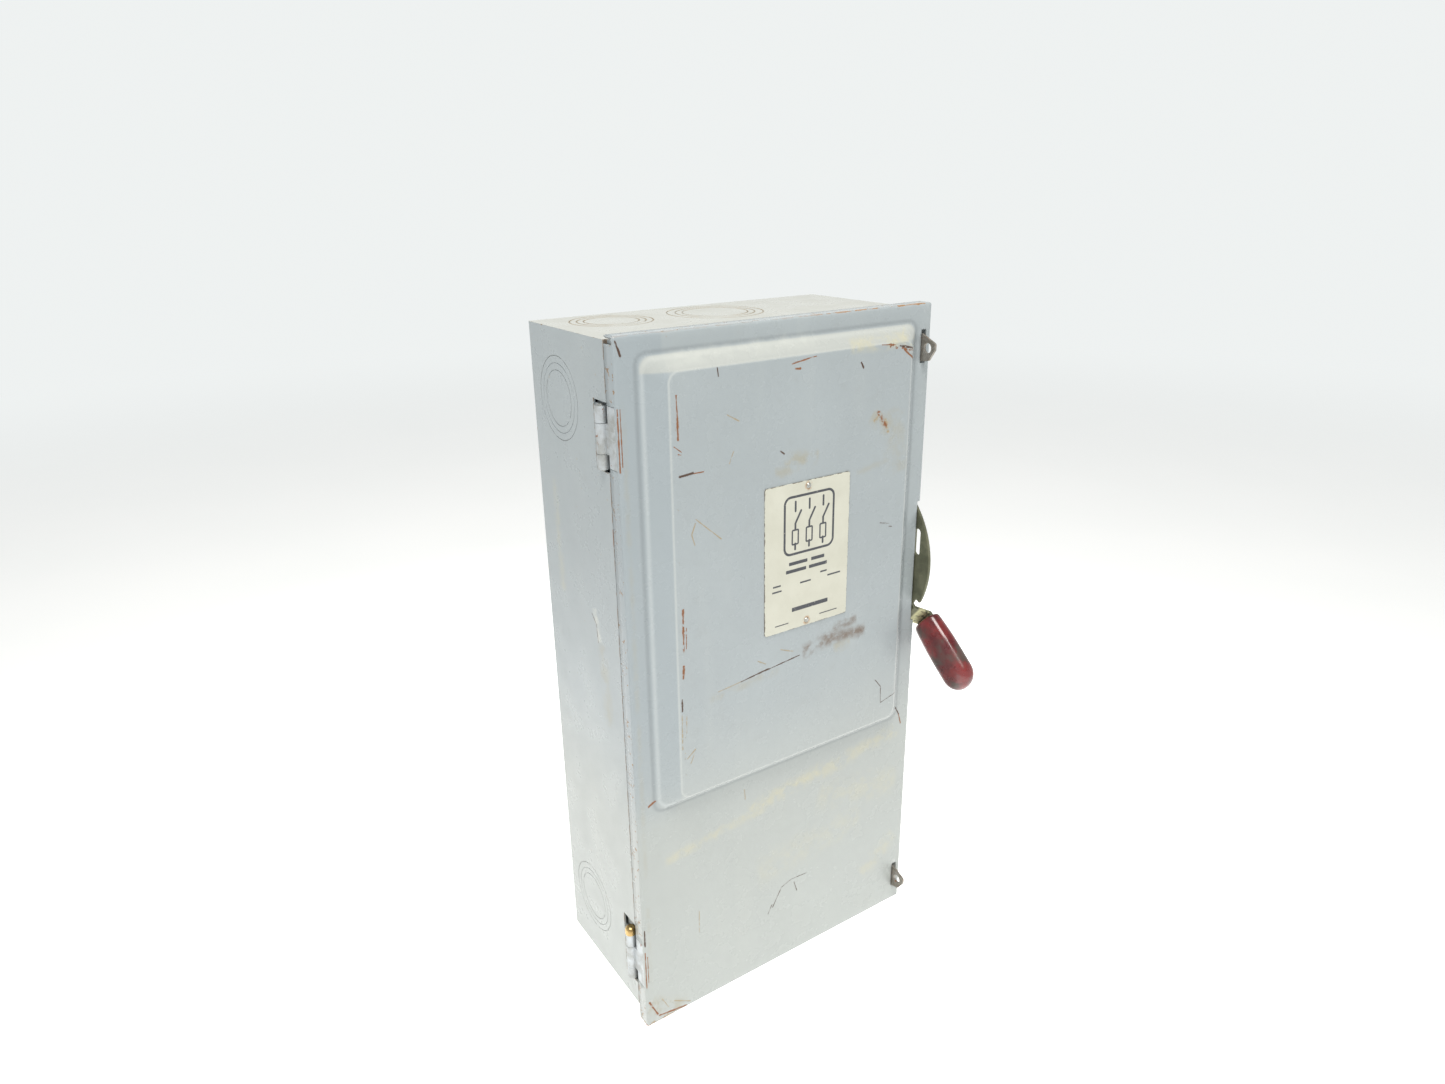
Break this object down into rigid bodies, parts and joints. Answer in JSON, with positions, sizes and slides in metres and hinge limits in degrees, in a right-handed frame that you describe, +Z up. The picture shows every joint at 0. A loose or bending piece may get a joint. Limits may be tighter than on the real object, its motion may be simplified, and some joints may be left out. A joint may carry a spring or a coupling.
{
  "type": "fusible safety disconnect switch",
  "caption": "Wall-mounted grey steel disconnect box with a hinged embossed cover, side handle with a red grip, padlock hasps, and fused switch parts inside.",
  "frame": {"origin": "centre of the four wall-mounting holes, on the back plane", "axes": "+X to the right seen from the front, +Y into the wall, +Z up"},
  "size_m": [0.3776, 0.2375, 0.6985],
  "materials": {
    "grey_enamel": "aged grey baked enamel",
    "olive_zinc": "aged yellow-chromate zinc",
    "red_grip": "dipped vinyl, worn",
    "cream_plate": null,
    "zinc_steel": "zinc-plated",
    "dull_steel": "dull plated steel",
    "brass": "tarnished",
    "copper": "plated copper",
    "black_phenolic": "moulded",
    "aluminium_lug": "tin-plated aluminium",
    "fuse_tube": "fibre tube with plated end caps",
    "clear_guard": "smoky polycarbonate",
    "arc_hood": "fibre insulation"
  },
  "bodies": {
    "enclosure": {"enclosure_box": "grey_enamel", "hinge_leaf_box_upper": "grey_enamel", "hinge_leaf_box_lower": "grey_enamel", "hinge_pin_upper": "zinc_steel", "hinge_pin_lower": "brass", "hasp_upper": "dull_steel", "hasp_lower": "dull_steel", "handle_bushing": "zinc_steel", "bushing_locknut": "zinc_steel", "mechanism_plate": "zinc_steel", "handle_spring": "dull_steel", "crossbar_bearing_left": "zinc_steel", "crossbar_bearing_right": "zinc_steel", "lug_screws": "zinc_steel", "switch_base": "black_phenolic", "load_base": "black_phenolic", "base_screws": "zinc_steel", "line_shield": "clear_guard", "shield_posts": "black_phenolic", "ground_bar": "aluminium_lug", "ground_screws": "zinc_steel", "line_terminal_1": "copper", "load_terminal_1": "copper", "fuse_clip_lower_1": "copper", "line_lug_1": "aluminium_lug", "load_lug_1": "aluminium_lug", "fuse_1": "fuse_tube", "arc_chute_1": "arc_hood", "line_terminal_2": "copper", "load_terminal_2": "copper", "fuse_clip_lower_2": "copper", "line_lug_2": "aluminium_lug", "load_lug_2": "aluminium_lug", "fuse_2": "fuse_tube", "arc_chute_2": "arc_hood", "line_terminal_3": "copper", "load_terminal_3": "copper", "fuse_clip_lower_3": "copper", "line_lug_3": "aluminium_lug", "load_lug_3": "aluminium_lug", "fuse_3": "fuse_tube", "arc_chute_3": "arc_hood"},
    "cover": {"cover": "grey_enamel", "rating_plate": "cream_plate", "rating_plate_rivets": "zinc_steel", "hinge_leaf_cover_upper": "grey_enamel", "hinge_leaf_cover_lower": "grey_enamel", "cover_catch": "grey_enamel"},
    "handle": {"handle_plate": "olive_zinc", "handle_grip": "red_grip", "handle_shaft": "zinc_steel", "handle_nut": "zinc_steel", "interlock_hook": "olive_zinc", "handle_crank": "zinc_steel"},
    "link": {"drive_link": "zinc_steel"},
    "crossbar": {"crossbar": "black_phenolic", "blade_1": "copper", "blade_2": "copper", "blade_3": "copper", "crossbar_crank": "zinc_steel"}
  },
  "joints": [
    {"name": "cover_hinge", "type": "hinge", "parent": "enclosure", "child": "cover", "pos_m": [-0.1645, -0.135, 0], "axis": [0, 0, -1], "range_deg": [0, 120]},
    {"name": "handle_turn", "type": "hinge", "parent": "enclosure", "child": "handle", "pos_m": [0.1645, -0.086, 0.0744], "axis": [-1, 0, 0], "range_deg": [0, 82]},
    {"name": "crossbar_turn", "type": "hinge", "parent": "enclosure", "child": "crossbar", "pos_m": [0, -0.054, 0.0894], "axis": [-1, 0, 0], "range_deg": [0, 82]},
    {"name": "link_turn", "type": "hinge", "parent": "handle", "child": "link", "pos_m": [0.123, -0.11043, 0.08329], "axis": [-1, 0, 0], "range_deg": [-82, 0]}
  ],
  "couplings": [
    {"joint": "crossbar_turn", "follows": "handle_turn", "ratio": 1},
    {"joint": "link_turn", "follows": "handle_turn", "ratio": -1}
  ]
}
